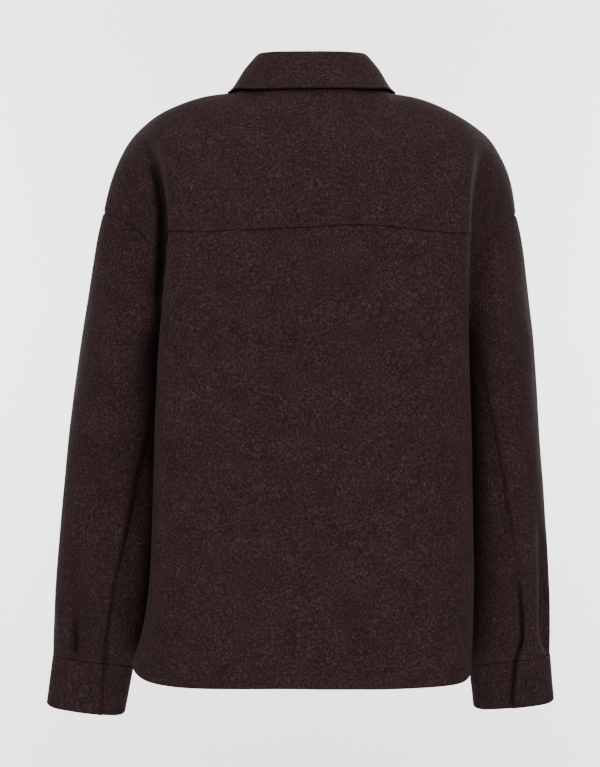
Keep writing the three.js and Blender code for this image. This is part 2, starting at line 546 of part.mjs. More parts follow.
// A closed wall of cloth over a grid of places. facing says which way round its outer face lies.
function sheet(columns, rows, surface, wall, facing) {
  const outer = rows.flatMap((row) => columns.map((column) => surface(column, row)));
  const [lastI, lastJ] = [columns.length - 1, rows.length - 1];
  const at = (i, j) => j * columns.length + i;
  const inner = outer.map((here, n) => {
    const [i, j] = [n % columns.length, Math.floor(n / columns.length)];
    const across = outer[at(Math.min(lastI, i + 1), j)].clone().sub(outer[at(Math.max(0, i - 1), j)]);
    const down = outer[at(i, Math.min(lastJ, j + 1))].clone().sub(outer[at(i, Math.max(0, j - 1))]);
    const outwards = across.clone().cross(down).normalize().multiplyScalar(facing);
    const drawnBack = across.setLength(EDGE_TURN * ((i === 0) - (i === lastI)));
    drawnBack.add(down.setLength(EDGE_TURN * ((j === 0) - (j === lastJ))));
    return here.clone().add(drawnBack).addScaledVector(outwards, -wall);
  });
  const under = outer.length;
  const faces = [];
  const quad = (a, b, c, d) => (facing > 0 ? faces.push(a, b, c, a, c, d) : faces.push(a, c, b, a, d, c));
  for (let j = 0; j < lastJ; j++) {
    for (let i = 0; i < lastI; i++) {
      const [a, b, c, d] = [at(i, j), at(i + 1, j), at(i + 1, j + 1), at(i, j + 1)];
      quad(a, b, c, d);
      quad(under + d, under + c, under + b, under + a);
    }
  }
  const rim = (a, b) => quad(a, under + a, under + b, b);
  for (let i = 0; i < lastI; i++) {
    rim(at(i, 0), at(i + 1, 0));
    rim(at(i + 1, lastJ), at(i, lastJ));
  }
  for (let j = 0; j < lastJ; j++) {
    rim(at(0, j + 1), at(0, j));
    rim(at(lastI, j), at(lastI, j + 1));
  }
  const geometry = new THREE.BufferGeometry().setFromPoints([...outer, ...inner]);
  geometry.setIndex(faces);
  geometry.computeVertexNormals();
  return geometry;
}

// A surface of one half, set on its side of the body
const onSide = (half, side) => (column, row) => {
  const made = half(side, column, row);
  made.x *= SIDES[side];
  return made;
};

// A surface of both halves, from the right armhole (-1) to the left one (1)
const onBoth = (half) => (column, row) =>
  onSide(half, column < 0 ? "right" : "left")(Math.abs(column), row);

function addPiece(group, name, geometry, finish) {
  const mesh = new THREE.Mesh(geometry, new THREE.MeshStandardMaterial(finish));
  mesh.name = name;
  group.add(mesh);
  return mesh;
}

function studGeometry() {
  const { radius, height, rim, dish } = STUD;
  const profile = [
    [0, 0],
    [radius - rim / 2, 0],
    [radius, height / 2],
    [radius - rim / 2, height],
    [radius - rim * 1.5, height],
    [radius - rim * 2, height - dish],
    [0, height - dish],
  ];
  return new THREE.LatheGeometry(
    profile.map(([x, y]) => new THREE.Vector2(x, y)),
    STUD_SIDES,
  );
}

// Sets a stud on a surface, its back just clear of the cloth
function addStud(group, name, surface, column, row, facing) {
  const across = surface(column + SLOPE_SPAN, row).sub(surface(column - SLOPE_SPAN, row));
  const down = surface(column, row + SLOPE_SPAN).sub(surface(column, row - SLOPE_SPAN));
  const outwards = across.cross(down).multiplyScalar(facing).normalize();
  const mesh = addPiece(group, name, studGeometry(), STUD_METAL);
  mesh.quaternion.setFromUnitVectors(point(0, 1, 0), outwards);
  mesh.position.copy(surface(column, row)).addScaledVector(outwards, STUD_SEAT);
}

// The row of a surface that lies at a height, found by halving
function rowAt(surface, column, z, [low, high]) {
  const middle = (low + high) / 2;
  if (high - low < STUD_FINE) return middle;
  return rowAt(surface, column, z, surface(column, middle).z > z ? [middle, high] : [low, middle]);
}

const half = [...spread(0, 1, TRUNK_COLUMNS), 1];
const bothHalves = [...spread(-1, 1, TRUNK_COLUMNS * 2), 1];
const yokeRows = [...spread(0, 1, YOKE_ROWS), 1];
const underarmRow = (top) => (top - ARMHOLE.left.innerZ) / (top - HEM_Z);
const backRows = [
  ...spread(0, underarmRow(YOKE_SEAM_Z), ARMPIT_ROWS),
  ...spread(underarmRow(YOKE_SEAM_Z), 1, SIDE_ROWS),
  1,
];
const frontRows = [
  ...spread(0, 1, COLLARBONE_ROWS),
  ...spread(1, 1 + underarmRow(CHEST_Z), ARMPIT_ROWS),
  ...spread(1 + underarmRow(CHEST_Z), 2, SIDE_ROWS),
  2,
];
const sleeveColumns = [
  ...spread(180, YOKE_TURN, ARMPIT_ROWS),
  ...spread(YOKE_TURN, SHOULDER_TURN, YOKE_ROWS),
  ...spread(SHOULDER_TURN, CHEST_TURN, COLLARBONE_ROWS),
  ...spread(CHEST_TURN, -180, ARMPIT_ROWS),
  -180,
].map((turn) => (180 - turn) / 360);
const sleeveRows = [...spread(0, 1, SLEEVE_ROWS), 1];
const cuffColumns = [...spread(0, 1, CUFF_COLUMNS), 1];
const neckPlaces = [...spread(-1, 1, NECK_COLUMNS * 2), 1];
const lapPlace = 1 + Math.asin(FRONT_LAP / NECK.halfWidth) / radians(2 * (180 - NECK_SEAM_TURN));
const standPlaces = [-lapPlace, ...neckPlaces, lapPlace];

const shacket = new THREE.Group();
shacket.name = "shacket";
addPiece(shacket, "yoke", sheet(bothHalves, yokeRows, onBoth(yokePoint), WALL, -1), CLOTH);
addPiece(shacket, "back", sheet(bothHalves, backRows, onBoth(backPoint), WALL, 1), CLOTH);
addPiece(shacket, "collar_stand", sheet(standPlaces, BAND_ROWS, standPoint, FUSED_WALL, -1), CLOTH);
addPiece(shacket, "collar_leaf", sheet(neckPlaces, LEAF_ROWS, leafPoint, FUSED_WALL, 1), CLOTH);
for (const [side, sign] of Object.entries(SIDES)) {
  const front = onSide(frontPoint, side);
  const sleeve = onSide(sleevePoint, side);
  const cuff = onSide(cuffPoint, side);
  addPiece(shacket, "front_" + side, sheet([-1, ...half], frontRows, front, WALL, -sign), CLOTH);
  addPiece(shacket, "sleeve_" + side, sheet(sleeveColumns, sleeveRows, sleeve, WALL, sign), CLOTH);
  addPiece(shacket, "cuff_" + side, sheet(cuffColumns, BAND_ROWS, cuff, FUSED_WALL, sign), CLOTH);
  const studColumn = CUFF_STUD_TURN / (360 + CUFF_LAP);
  addStud(shacket, "cuff_stud_" + side, cuff, studColumn, CUFF_STUD_DOWN, sign);
}
const overFront = onSide(frontPoint, "right");
FRONT_STUDS_Z.forEach((z, i) => {
  addStud(shacket, "front_stud_" + (i + 1), overFront, 0, rowAt(overFront, 0, z, [0, 2]), -SIDES.right);
});

export default shacket;
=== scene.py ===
"""A brown wool shacket in worn form: cloth panels with folds, hems and seams, stitching, press studs"""

import math

import bmesh
import bpy
from bpy.props import FloatProperty, IntProperty, PointerProperty
from mathutils import Matrix, Vector, noise
from mathutils.bvhtree import BVHTree


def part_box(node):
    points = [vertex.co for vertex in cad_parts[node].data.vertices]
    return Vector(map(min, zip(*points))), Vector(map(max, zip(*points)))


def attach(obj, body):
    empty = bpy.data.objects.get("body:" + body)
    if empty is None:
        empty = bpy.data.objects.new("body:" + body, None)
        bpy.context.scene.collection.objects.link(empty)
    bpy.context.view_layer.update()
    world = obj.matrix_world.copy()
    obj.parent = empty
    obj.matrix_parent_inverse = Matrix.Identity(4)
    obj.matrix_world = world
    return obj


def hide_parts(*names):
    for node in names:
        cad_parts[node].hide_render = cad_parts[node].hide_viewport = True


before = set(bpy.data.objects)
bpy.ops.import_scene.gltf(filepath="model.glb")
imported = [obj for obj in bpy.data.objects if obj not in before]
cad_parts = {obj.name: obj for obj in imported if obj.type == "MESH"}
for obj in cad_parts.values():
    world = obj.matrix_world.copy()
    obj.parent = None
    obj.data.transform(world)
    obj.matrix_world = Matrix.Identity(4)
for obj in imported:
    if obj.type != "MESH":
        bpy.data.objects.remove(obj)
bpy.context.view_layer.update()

bl_info = {
    "name": "Wool Shacket",
    "version": (1, 0, 0),
    "blender": (4, 5, 0),
    "location": "3D View > Sidebar > Shacket",
    "description": "Builds a worn wool shacket from its cut panels",
    "category": "Object",
}

MM = 0.001
MERGE = 0.001 * MM
RIM_ANGLE = math.radians(60)  # a panel's rims turn off its outer side by more than this

# Panels: the subdivision that smooths each, how it is held, and its flat cut in metres. The cut's area, in
# square metres, leaves out what is cut away at the neck, armholes and slanted seams.
PANELS = {
    "yoke": {"level": 3, "held": "hung", "flat": (0.62, 0.26), "area": 0.12},
    "back": {"level": 2, "held": "hung", "flat": (0.56, 0.53), "area": 0.278},
    "front_left": {"level": 2, "held": "hung", "flat": (0.3, 0.71), "area": 0.184},
    "front_right": {"level": 2, "held": "hung", "flat": (0.3, 0.71), "area": 0.182},
    "sleeve_left": {"level": 3, "held": "hung", "flat": (0.44, 0.53), "area": 0.156},
    "sleeve_right": {"level": 3, "held": "hung", "flat": (0.43, 0.53), "area": 0.143},
    "cuff_left": {"level": 3, "held": "folded", "flat": (0.285, 0.062), "area": 0.0168},
    "cuff_right": {"level": 3, "held": "folded", "flat": (0.275, 0.061), "area": 0.016},
    "collar_stand": {"level": 3, "held": "folded", "flat": (0.44, 0.04), "area": 0.0126},
    "collar_leaf": {"level": 3, "held": "folded", "flat": (0.46, 0.08), "area": 0.0278},
}
FUSED = ("cuff_left", "cuff_right", "collar_stand", "collar_leaf")

# Sewn edges: the panel and its edge, how far in the stitching runs and how much the doubled cloth under it
# stands out, in millimetres, and how many rows of the panel's grid get how many cuts to carry that.
SEWN_EDGES = [
    {"panel": "yoke", "edge": "bottom", "stitch": 6.0, "lift": 0.6, "rings": 3, "cuts": 3},
    {"panel": "back", "edge": "bottom", "stitch": 17.0, "lift": 0.7, "rings": 3, "cuts": 5},
    {"panel": "front_left", "edge": "bottom", "stitch": 17.0, "lift": 0.7, "rings": 3, "cuts": 5},
    {"panel": "front_right", "edge": "bottom", "stitch": 17.0, "lift": 0.7, "rings": 3, "cuts": 5},
    {"panel": "front_right", "edge": "left", "stitch": 6.0, "lift": 0.5, "rings": 2, "cuts": 3},
    {"panel": "front_left", "edge": "right", "stitch": 6.0, "lift": 0.5, "rings": 2, "cuts": 3},
    {"panel": "collar_leaf", "edge": "bottom", "stitch": 5.5, "lift": 0.4, "rings": 4, "cuts": 3},
    {"panel": "collar_leaf", "edge": "left", "stitch": 5.5, "lift": 0.4, "rings": 3, "cuts": 2},
    {"panel": "collar_leaf", "edge": "right", "stitch": 5.5, "lift": 0.4, "rings": 3, "cuts": 2},
]

# Plain seams: the panel's edges that are sewn to another panel, how deep the cloth dips into the seam, and
# how far it runs on under the other panel, in general and near the underarm. Millimetres.
SEAMS = [
    {"panel": "yoke", "edges": ("left", "right", "top"), "dip": 0.7, "under": (0, 0)},
    {"panel": "back", "edges": ("left", "right"), "dip": 0.7, "under": (0, 0)},
    {"panel": "back", "edges": ("top",), "dip": 1.4, "under": (0, 0)},
    {"panel": "front_left", "edges": ("left", "top"), "dip": 0.7, "under": (0, 0)},
    {"panel": "front_right", "edges": ("right", "top"), "dip": 0.7, "under": (0, 0)},
    {"panel": "sleeve_left", "edges": ("top",), "dip": 1.8, "under": (0.3, 1.4)},
    {"panel": "sleeve_right", "edges": ("top",), "dip": 1.8, "under": (0.3, 1.4)},
    {"panel": "sleeve_left", "edges": ("left", "right"), "dip": 1.0, "under": (0, 0)},
    {"panel": "sleeve_right", "edges": ("left", "right"), "dip": 1.0, "under": (0, 0)},
]
DIP_REACH = 2.4 * MM
DIP_FADED = DIP_REACH * 3
DIP_CUTS = 2
UNDERARM = {"z": -275 * MM, "near": (85 * MM, 110 * MM)}  # the seams in the armhole's shade don't dip

# Across the stitching of a sewn edge: where the doubled cloth ends, before and after the stitching, and the
# half width of the groove that the thread pulls
DOUBLED_ENDS = (1.2 * MM, 1.6 * MM)
GROOVE_WIDTH = 1.0 * MM

# Folds that the cloth hangs in, drawn as seen from one side. Each line gives places across and up, and how
# far out the ridge stands there, or below zero how deep the trough is. half is the half width towards the
# lower and the higher side across. on names the panels a fold keeps to; without it, all are folded together.
# Millimetres.
FOLDS = [
    # The left armhole's deep drape and the light edge above it
    {"seen": "back", "half": (7, 5), "line": [
        (186, -56, 0), (178, -84, -10), (169.5, -128, -24), (169, -172, -30), (171, -220, -25),
        (172.5, -246, -9), (173.5, -266, 0)]},
    {"seen": "back", "half": (8, 8), "line": [
        (188, -58, 0), (181, -78, -6), (175.5, -98, -9), (171, -122, -7), (169, -150, 0)]},
    {"seen": "back", "half": (6, 7), "line": [(194, -60, 0), (185, -54, 2), (173, -52, 2), (160, -57, 0)]},
    # The right armhole's drape, stepping down from the back's edge to the arm
    {"seen": "back", "half": (16, 3), "line": [
        (-188, -66, 0), (-187.5, -85, -7), (-185, -105, -10), (-183, -138, -11), (-182.5, -172, -10),
        (-181, -235, -7), (-180, -285, 0)]},
    # The left sleeve's pleat above the cuff, its pressed end, and the small ridge outside it
    {"seen": "back", "half": (7, 5), "line": [
        (263, -500, 0), (266.5, -537, -5), (269, -583, -8), (272, -618, -7), (273, -644, -4),
        (273, -657, 0)]},
    {"seen": "back", "half": (2, 1.6), "line": [
        (271, -604, 0), (272.4, -618, -7), (273, -640, -8), (273, -653, 0)]},
    {"seen": "back", "half": (4, 4), "line": [
        (297, -585, 0), (294, -610, 2.4), (288, -638, 2.4), (284, -656, 0)]},
    # The left sleeve's vent, open beside its over edge down to the end of the cuff
    {"seen": "back", "half": (4, 0.5), "line": [
        (226, -562, 0), (227.5, -576, -3), (233, -603, -4.5), (238.8, -629, -5), (241, -645, -5),
        (241.8, -658, -4.5), (243.5, -685, -4), (245.8, -714, -4)]},
    # The right sleeve's tuck: a pressed edge, and the trough outside it
    {"seen": "back", "half": (9, 1.8), "line": [
        (-258, -480, 0), (-260.5, -538, -8), (-261.5, -580, -14), (-262.5, -621, -15), (-267, -638, -12),
        (-273, -650, -5), (-275, -656, 0)]},
    {"seen": "back", "half": (1.5, 4), "line": [
        (-255, -470, 0), (-257.5, -540, 1.6), (-258.5, -600, 2), (-259.5, -625, 2), (-265, -645, 1),
        (-271, -655, 0)]},
    # The right sleeve's vent
    {"seen": "back", "half": (0.6, 3.4), "line": [
        (-238, -560, 0), (-239, -572, -6), (-242.5, -600, -10), (-244, -627, -11), (-240.5, -643, -11),
        (-237, -656, -9), (-234, -682, -8), (-232.3, -702, -8)]},
    # Under-sleeves, turned in from the sleeve seams
    {"seen": "back", "half": (17, 3), "on": ("sleeve_left",), "line": [
        (180, -345, 0), (187.5, -400, -7), (197, -438, -12), (203, -470, -13), (214, -524, -9),
        (226, -575, -1)]},
    {"seen": "back", "half": (3, 15), "on": ("sleeve_right",), "line": [
        (-186, -290, 0), (-196.5, -342, -4), (-210.5, -410, -5), (-219.5, -468, -5), (-228, -513, -4),
        (-235, -560, 0)]},
    # The collar leaf's fall over the shoulders
    {"seen": "left", "half": (14, 14), "on": ("collar_leaf",), "line": [
        (-36, 9, 0), (-20, 17, 2), (10, 22, 3), (35, 21, 2.4), (62, 20, 0)]},
    {"seen": "right", "half": (14, 14), "on": ("collar_leaf",), "line": [
        (-36, 9, 0), (-20, 17, 2), (10, 22, 3), (35, 21, 2.4), (62, 20, 0)]},
    {"seen": "above", "half": (9, 9), "on": ("collar_leaf",), "line": [
        (84, 46, 0), (93, 24, -2.6), (95, 0, -3.2), (90, -36, 0)]},
    {"seen": "above", "half": (9, 9), "on": ("collar_leaf",), "line": [
        (-84, 46, 0), (-93, 24, -2.6), (-95, 0, -3.2), (-90, -36, 0)]},
    # Slow folds of the back, the sleeves and the fronts
    {"seen": "back", "half": (38, 38), "line": [
        (64, -650, 0), (48, -580, -2), (38, -500, -2), (30, -410, 0)]},
    {"seen": "back", "half": (34, 34), "line": [
        (-74, -655, 0), (-64, -560, 1.8), (-50, -470, 1.6), (-40, -400, 0)]},
    {"seen": "back", "half": (26, 26), "line": [
        (-130, -310, 0), (-60, -276, -1.3), (20, -262, -1), (70, -262, 0)]},
    {"seen": "back", "half": (24, 24), "line": [
        (240, -240, 0), (244, -330, -2), (258, -430, -2), (268, -500, 0)]},
    {"seen": "back", "half": (22, 22), "line": [
        (-226, -260, 0), (-222, -340, -2), (-228, -430, -1.6), (-236, -500, 0)]},
    {"seen": "front", "half": (34, 34), "line": [
        (128, -655, 0), (112, -560, 2.4), (100, -460, 2), (95, -370, 0)]},
    {"seen": "front", "half": (36, 36), "line": [
        (-116, -655, 0), (-104, -550, -2.2), (-96, -450, -2), (-90, -350, 0)]},
    {"seen": "front", "half": (20, 20), "line": [
        (-172, -150, 0), (-130, -182, -2.2), (-90, -206, -1.6), (-50, -222, 0)]},
    {"seen": "front", "half": (20, 20), "line": [
        (172, -152, 0), (132, -188, -2.2), (96, -214, -1.6), (56, -236, 0)]},
    {"seen": "front", "half": (7, 8), "line": [
        (184, -90, 0), (178, -150, -6), (175, -208, -8), (174.5, -262, 0)]},
    {"seen": "front", "half": (8, 7), "line": [
        (-184, -92, 0), (-179, -150, -6), (-176, -208, -8), (-175.5, -262, 0)]},
    {"seen": "front", "half": (9, 7), "line": [
        (252, -540, 0), (256, -600, -4), (258, -640, -4), (259, -656, 0)]},
    {"seen": "front", "half": (7, 9), "line": [
        (-228, -545, 0), (-231, -600, -4), (-231, -636, -4), (-230.5, -650, 0)]},
]
DEEP = (18 * MM, 34 * MM)  # cloth that lies this much deeper than a fold's line is left alone
EASE = [{"size": 150, "out": 1.4}, {"size": 46, "out": 0.4}]  # slow unevenness of every panel, millimetres
SEED = 34  # of the unevenness; it leaves no gap between the left sleeve and the body

FLATTENED = (0.7, 0.6)  # a stitch's half width and half height, as shares of the thread's thickness

# The cap of a press stud: half of its section, radius and height as shares of its own
STUD_SECTION = [
    (0, -0.2), (0.9, -0.2), (0.98, 0.1), (1, 0.4), (0.97, 0.72), (0.9, 0.92), (0.82, 1.0),
    (0.76, 0.96), (0.72, 0.84), (0.66, 0.8), (0.45, 0.86), (0.2, 0.9), (0, 0.91),
]

# The stage, in metres and watts. The two paper lights only light the backdrop, which they face.
HEART = (0, 0, -0.35)  # the middle of the garment
BACKDROP = {
    "floor": -1.92, "front": 12.0, "back": -7.0, "top": 8.0, "half": 12.0, "radius": 1.67, "steps": 12,
}
LIGHTS = [
    {"name": "key", "spot": (0.9, 3.8, 1.5), "aim": HEART, "size": 2.4, "watts": 104},
    {"name": "fill", "spot": (-1.2, 3.8, 0.8), "aim": HEART, "size": 2.4, "watts": 70},
    {"name": "front", "spot": (-1.2, -3.2, 1.4), "aim": HEART, "size": 2.4, "watts": 50},
    {"name": "top", "spot": (0.0, 0.4, 3.2), "aim": HEART, "size": 3.0, "watts": 60},
    {"name": "left_paper", "spot": (4.3, -4.4, 0), "aim": (4.3, -7, 0), "size": 3.2, "watts": 900},
    {"name": "right_paper", "spot": (-4.3, -4.4, 0), "aim": (-4.3, -7, 0), "size": 3.2, "watts": 900},
]
AMBIENT = 0.6  # strength of the white world
# The camera sees this much above and below its aim, at this distance
CAMERA = {"spot": (0.0138, 4.0, -0.25), "aim": (0.0138, 0, -0.335), "sees": 0.441, "at": 4.0}


class ClothSettings(bpy.types.PropertyGroup):
    """Sizes of the cloth"""

    wall: FloatProperty(
        name="Cloth", description="Thickness of the felted wool", default=2 * MM, unit="LENGTH"
    )
    fused_wall: FloatProperty(
        name="Fused cloth", description="Thickness of the collar and cuffs", default=2.3 * MM, unit="LENGTH"
    )
    edge_radius: FloatProperty(
        name="Edge roundness", description="Radius of the cloth's edges", default=0.7 * MM, unit="LENGTH"
    )
    groove: FloatProperty(
        name="Stitch groove", description="How deep the stitching sinks in", default=0.7 * MM, unit="LENGTH"
    )


class StitchSettings(bpy.types.PropertyGroup):
    """Sizes of the topstitching"""

    pitch: FloatProperty(name="Pitch", description="From stitch to stitch", default=3.4 * MM, unit="LENGTH")
    length: FloatProperty(
        name="Length", description="Length of the thread that shows", default=2.7 * MM, unit="LENGTH"
    )
    thread: FloatProperty(
        name="Thread", description="Thickness of the thread", default=0.45 * MM, unit="LENGTH"
    )


class StudSettings(bpy.types.PropertyGroup):
    """Sizes of the press studs"""

    radius: FloatProperty(name="Radius", description="Radius of the cap", default=8 * MM, unit="LENGTH")
    height: FloatProperty(name="Height", description="Height of the cap", default=2.6 * MM, unit="LENGTH")
    sides: IntProperty(name="Sides", description="Steps round the cap", default=48, min=16, max=96)


def linear(colour):
    """The linear value of an sRGB hex colour, for a shader's socket"""
    channels = [int(colour[i : i + 2], 16) / 255 for i in (1, 3, 5)]
    turned = [c / 12.92 if c <= 0.04045 else ((c + 0.055) / 1.055) ** 2.4 for c in channels]
    return (*turned, 1.0)


def add_node(tree, kind, settings=None, **sockets):
    """Adds a node with its settings. A socket is given a value, or another node's output to link from."""
    node = tree.nodes.new(kind)
    for name, value in (settings or {}).items():
        setattr(node, name, value)
    for name, value in sockets.items():
        socket = node.inputs[name.replace("_", " ")]
        if isinstance(value, bpy.types.NodeSocket):
            tree.links.new(value, socket)
        else:
            socket.default_value = value
    return node


def set_ramp(node, stops):
    """Gives a Color Ramp its stops: places and colours"""
    ramp = node.color_ramp
    while len(ramp.elements) < len(stops):
        ramp.elements.new(1)
    for element, (place, colour) in zip(ramp.elements, stops):
        element.position = place
        element.color = colour


def new_material(name):
    material = bpy.data.materials.new(name)
    material.use_nodes = True
    tree = material.node_tree
    tree.nodes.clear()
    return material, tree


def per_metre(millimetres):
    """The texture scale that makes a pattern's cells this big"""
    return 1 / (millimetres * MM)


def melange_wool():
    """Felted melange wool coating: dyed fibres of three browns carded together, milled and brushed, so the
    eye gets a matt mottled face with pale flecks and a soft nap at the edges"""
    material, tree = new_material("melange_wool")
    place = add_node(tree, "ShaderNodeTexCoord").outputs["Object"]
    # Real fibre clumps are 0.5 to 1 mm; these are 2.5 mm, so that they show in the render
    clumps = add_node(
        tree, "ShaderNodeTexNoise", Vector=place, Scale=per_metre(2.5), Detail=3.0, Roughness=0.75
    )
    drift = add_node(tree, "ShaderNodeTexNoise", Vector=place, Scale=per_metre(30), Detail=2.0)
    mottle = add_node(tree, "ShaderNodeValToRGB", Fac=clumps.outputs["Fac"])
    stops = [(0.33, "#190e0f"), (0.47, "#241718"), (0.56, "#2c1e1f"), (0.71, "#433231")]
    set_ramp(mottle, [(at, linear(colour)) for at, colour in stops])
    cloudy = add_node(tree, "ShaderNodeValToRGB", Fac=drift.outputs["Fac"])
    set_ramp(cloudy, [(0.3, (0.86, 0.86, 0.86, 1)), (0.7, (1.12, 1.1, 1.08, 1))])
    colour = add_node(tree, "ShaderNodeMix", {"data_type": "RGBA", "blend_type": "MULTIPLY"})
    colour.inputs[0].default_value = 1.0
    tree.links.new(mottle.outputs["Color"], colour.inputs[6])
    tree.links.new(cloudy.outputs["Color"], colour.inputs[7])
    nap = add_node(tree, "ShaderNodeTexNoise", Vector=place, Scale=per_metre(1.6), Detail=4.0, Roughness=0.7)
    bump = add_node(tree, "ShaderNodeBump", Strength=0.55, Distance=0.5 * MM, Height=nap.outputs["Fac"])
    shader = add_node(
        tree,
        "ShaderNodeBsdfPrincipled",
        Base_Color=colour.outputs[2],
        Roughness=0.95,
        IOR=1.45,
        Normal=bump.outputs["Normal"],
        Sheen_Weight=0.03,
        Sheen_Roughness=0.6,
        Sheen_Tint=linear("#8a7468"),
        Specular_IOR_Level=0.1,
    )
    add_node(tree, "ShaderNodeOutputMaterial", Surface=shader.outputs["BSDF"])
    return material


def sewing_thread():
    """Matt spun polyester sewing thread, dyed to match the cloth: a fine twisted yarn whose colour carries
    painted shade, darker in the hollows where the twist's bump sinks in"""
    material, tree = new_material("sewing_thread")
    place = add_node(tree, "ShaderNodeTexCoord").outputs["Object"]
    twist = add_node(tree, "ShaderNodeTexNoise", Vector=place, Scale=per_metre(0.6), Detail=1.0)
    bump = add_node(tree, "ShaderNodeBump", Strength=0.4, Distance=0.1 * MM, Height=twist.outputs["Fac"])
    # Painted shade: the thread's colour darkens where the twist's bump is low, in the hollows between its
    # turns
    painted_twist_shade = add_node(tree, "ShaderNodeValToRGB", Fac=twist.outputs["Fac"])
    set_ramp(painted_twist_shade, [(0.3, linear("#150e0d")), (0.7, linear("#271b1a"))])
    shader = add_node(
        tree,
        "ShaderNodeBsdfPrincipled",
        Base_Color=painted_twist_shade.outputs["Color"],
        Roughness=0.9,
        Specular_IOR_Level=0.1,
        Normal=bump.outputs["Normal"],
    )
    add_node(tree, "ShaderNodeOutputMaterial", Surface=shader.outputs["BSDF"])
    return material


def oxidised_brass():
    """Antique brass of a press stud: stamped brass, oxidised almost black and lacquered, so the eye gets a
    dark olive brown with a soft small highlight"""
    material, tree = new_material("oxidised_brass")
    place = add_node(tree, "ShaderNodeTexCoord").outputs["Object"]
    stain = add_node(tree, "ShaderNodeTexNoise", Vector=place, Scale=per_metre(4), Detail=4.0, Roughness=0.65)
    colour = add_node(tree, "ShaderNodeValToRGB", Fac=stain.outputs["Fac"])
    set_ramp(colour, [(0.35, linear("#1c150d")), (0.65, linear("#32291c"))])
    rough = add_node(tree, "ShaderNodeMapRange", Value=stain.outputs["Fac"])
    rough.inputs["To Min"].default_value = 0.32
    rough.inputs["To Max"].default_value = 0.55
    bump = add_node(tree, "ShaderNodeBump", Strength=0.15, Distance=0.1 * MM, Height=stain.outputs["Fac"])
    shader = add_node(
        tree,
        "ShaderNodeBsdfPrincipled",
        Base_Color=colour.outputs["Color"],
        Metallic=0.85,
        Roughness=rough.outputs["Result"],
        Normal=bump.outputs["Normal"],
    )
    add_node(tree, "ShaderNodeOutputMaterial", Surface=shader.outputs["BSDF"])
    return material


def studio_paper():
    """Matt seamless background paper: uncoated and pale, so the eye gets one even light grey"""
    material, tree = new_material("studio_paper")
    place = add_node(tree, "ShaderNodeTexCoord").outputs["Object"]
    grain = add_node(tree, "ShaderNodeTexNoise", Vector=place, Scale=per_metre(40), Detail=3.0)
    bump = add_node(tree, "ShaderNodeBump", Strength=0.05, Distance=0.2 * MM, Height=grain.outputs["Fac"])
    shader = add_node(
        tree,
        "ShaderNodeBsdfPrincipled",
        Base_Color=linear("#f0f0f0"),
        Roughness=1.0,
        Specular_IOR_Level=0.0,
        Normal=bump.outputs["Normal"],
    )
    add_node(tree, "ShaderNodeOutputMaterial", Surface=shader.outputs["BSDF"])
    return material


def material_named(name, make):
    return bpy.data.materials.get(name) or make()


def link_object(name, mesh):
    obj = bpy.data.objects.new(name, mesh)
    bpy.context.scene.collection.objects.link(obj)
    return obj


def mesh_from(bm, name):
    mesh = bpy.data.meshes.new(name)
    bm.normal_update()
    bm.to_mesh(mesh)
    bm.free()
    mesh.polygons.foreach_set("use_smooth", [True] * len(mesh.polygons))
    return mesh


def smooth_sides(bm):
    """The sides of a panel's wall: groups of faces with no sharp edge between them"""
    left = set(bm.faces)
    sides = []
    while left:
        side = []
        front = [left.pop()]
        while front:
            face = front.pop()
            side.append(face)
            for edge in face.edges:
                near = [f for f in edge.link_faces if f in left and edge.calc_face_angle(0) < RIM_ANGLE]
                left.difference_update(near)
                front.extend(near)
        sides.append(side)
    return sides


def dissolve_diagonals(bm):
    """Turns a triangulated grid back to quads. Its diagonals all run the same way, so each follows from the
    next one's, starting at a corner that belongs to one triangle alone."""
    corner = next(v for v in bm.verts if len(v.link_faces) == 1)
    first = corner.link_faces[0]
    diagonals = {first: next(e for e in first.edges if corner not in e.verts)}
    wave = [first]
    while wave:
        face = wave.pop()
        own = diagonals[face]
        for edge in face.edges:
            for other in (f for f in edge.link_faces if f not in diagonals):
                diagonals[other] = own
                if edge is not own:
                    pivot = next(v for v in edge.verts if v not in own.verts)
                    diagonals[other] = next(e for e in other.edges if e is not edge and pivot in e.verts)
                wave.append(other)
    bmesh.ops.dissolve_edges(bm, edges=list(set(diagonals.values())), use_verts=False)


def outer_side(node):
    """A merged copy of a node's mesh, cut down to the outer side of its wall and turned back to quads"""
    bm = bmesh.new()
    bm.from_mesh(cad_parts[node].data)
    bmesh.ops.remove_doubles(bm, verts=bm.verts, dist=MERGE)
    bm.normal_update()
    middle = sum((v.co for v in bm.verts), Vector()) / len(bm.verts)

    def outwards(side):
        return sum(f.calc_area() * f.normal.dot(f.calc_center_median() - middle) for f in side)

    outer = set(max(smooth_sides(bm), key=outwards))
    on_it = {v for f in outer for v in f.verts}
    outer |= {f for f in bm.faces if all(v in on_it for v in f.verts)}
    bmesh.ops.delete(bm, geom=[f for f in bm.faces if f not in outer], context="FACES")
    dissolve_diagonals(bm)
    return bm


def smoothed(bm, name, level):
    """The panel's surface subdivided into a fine smooth grid"""
    rough = link_object(name, mesh_from(bm, name))
    modifier = rough.modifiers.new("Smooth grid", "SUBSURF")
    modifier.levels = modifier.render_levels = level
    modifier.boundary_smooth = "PRESERVE_CORNERS"
    made = bpy.data.meshes.new_from_object(rough.evaluated_get(bpy.context.evaluated_depsgraph_get()))
    fine = bmesh.new()
    fine.from_mesh(made)
    bpy.data.objects.remove(rough)
    bpy.data.meshes.remove(made)
    return fine


def next_on_edge(vert, walked):
    """The next boundary edge at a vertex that hasn't been walked yet"""
    return next((e for e in vert.link_edges if e.is_boundary and e not in walked), None)


